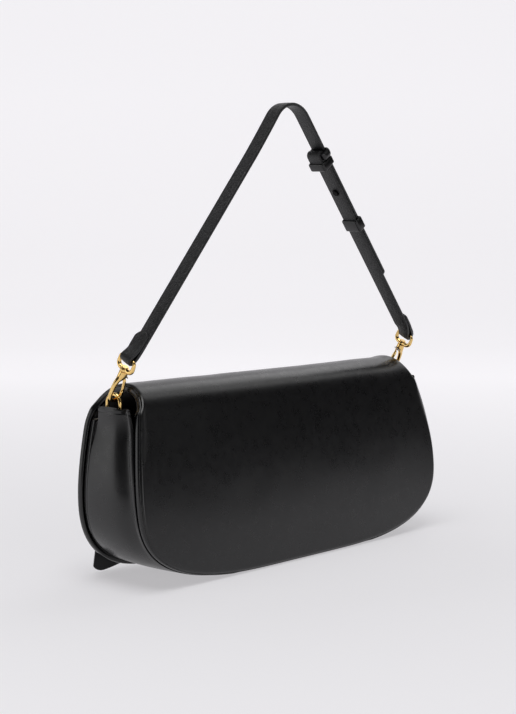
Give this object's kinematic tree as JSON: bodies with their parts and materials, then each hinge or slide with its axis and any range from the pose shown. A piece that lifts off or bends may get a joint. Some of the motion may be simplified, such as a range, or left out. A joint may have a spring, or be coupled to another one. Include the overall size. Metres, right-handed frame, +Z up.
{
  "type": "flap shoulder bag",
  "caption": "Small curved flap bag with a rolled top, a tie on the flap, a magnetic closure and a short adjustable strap on swivel hooks.",
  "frame": {"origin": "on the flat bottom, in the middle of the bag's length, 23 mm behind the front wall's inner face", "axes": "+Z up; the front with the flap faces -Y; +X towards the right of someone who looks at the front"},
  "size_m": [0.3206, 0.0811, 0.3321],
  "materials": {
    "leather": "smooth black leather with a soft sheen",
    "edge": "black leather, seamed at both edges",
    "strap": "black pebbled leather, painted edges",
    "board": "matt",
    "lining": "matt",
    "thread": "matt",
    "metal": "polished, gold coloured",
    "dark_metal": "painted black",
    "steel": "plain"
  },
  "bodies": {
    "body": {"back_panel": "leather", "back_edge_band": "edge", "back_board": "board", "back_lining": "lining", "gusset": "leather", "gusset_lining": "lining", "base_board": "board", "front_panel": "leather", "front_edge_band": "edge", "front_board": "board", "front_lining": "lining", "body_magnet": "metal", "body_washer": "steel", "ring_tab_right": "leather", "ring_tab_left": "leather", "tab_stitching_right": "thread", "tab_stitching_left": "thread"},
    "flap": {"flap_panel": "leather", "flap_edge_band": "edge", "flap_board": "board", "flap_lining": "lining", "flap_magnet": "metal", "flap_washer": "steel", "tie_knot": "leather", "tie_end_right": "leather", "tie_end_left": "leather"},
    "strap": {"strap_long": "strap", "strap_short": "strap", "strap_frame": "strap", "fixed_keeper": "strap", "strap_stud": "dark_metal", "swivel_eye_right": "metal", "swivel_eye_left": "metal"},
    "keeper": {"sliding_keeper": "strap"},
    "ring_right": {"d_ring_right": "metal"},
    "ring_left": {"d_ring_left": "metal"},
    "hook_right": {"hook_right": "metal", "gate_pin_right": "steel", "gate_spring_right": "steel", "swivel_stem_right": "metal"},
    "gate_right": {"gate_right": "metal"},
    "hook_left": {"hook_left": "metal", "gate_pin_left": "steel", "gate_spring_left": "steel", "swivel_stem_left": "metal"},
    "gate_left": {"gate_left": "metal"}
  },
  "joints": [
    {"name": "flap_hinge", "type": "hinge", "parent": "body", "child": "flap", "pos_m": [0, -0.00452, 0.1373], "axis": [-1, 0, 0], "range_deg": [0, 130]},
    {"name": "strap_swing", "type": "hinge", "parent": "body", "child": "strap", "pos_m": [0, -0.008, 0.1238], "axis": [-1, 0, 0], "range_deg": [-90, 50]},
    {"name": "ring_tilt_right", "type": "hinge", "parent": "body", "child": "ring_right", "pos_m": [0.14938, -0.008, 0.115], "axis": [0, 1, 0], "range_deg": [-1, 7]},
    {"name": "ring_tilt_left", "type": "hinge", "parent": "body", "child": "ring_left", "pos_m": [-0.14938, -0.008, 0.115], "axis": [0, -1, 0], "range_deg": [-1, 7]},
    {"name": "hook_swivel_right", "type": "hinge", "parent": "strap", "child": "hook_right", "pos_m": [0.15058, -0.008, 0.1238], "axis": [0, 0.454, 0.891], "range_deg": [-16, 16]},
    {"name": "hook_swivel_left", "type": "hinge", "parent": "strap", "child": "hook_left", "pos_m": [-0.15058, -0.008, 0.1238], "axis": [0, 0.454, 0.891], "range_deg": [-16, 16]},
    {"name": "gate_turn_right", "type": "hinge", "parent": "hook_right", "child": "gate_right", "pos_m": [0.14788, 0.0019, 0.14322], "axis": [0, -0.891, 0.454], "range_deg": [0, 34], "stiffness_Nm_per_rad": 0.002},
    {"name": "gate_turn_left", "type": "hinge", "parent": "hook_left", "child": "gate_left", "pos_m": [-0.14788, 0.0019, 0.14322], "axis": [0, 0.891, -0.454], "range_deg": [0, 34], "stiffness_Nm_per_rad": 0.002},
    {"name": "keeper_slide", "type": "slide", "parent": "strap", "child": "keeper", "axis": [-0.6293, -0.019, -0.7769], "range_m": [-0.01, 0.01]}
  ]
}
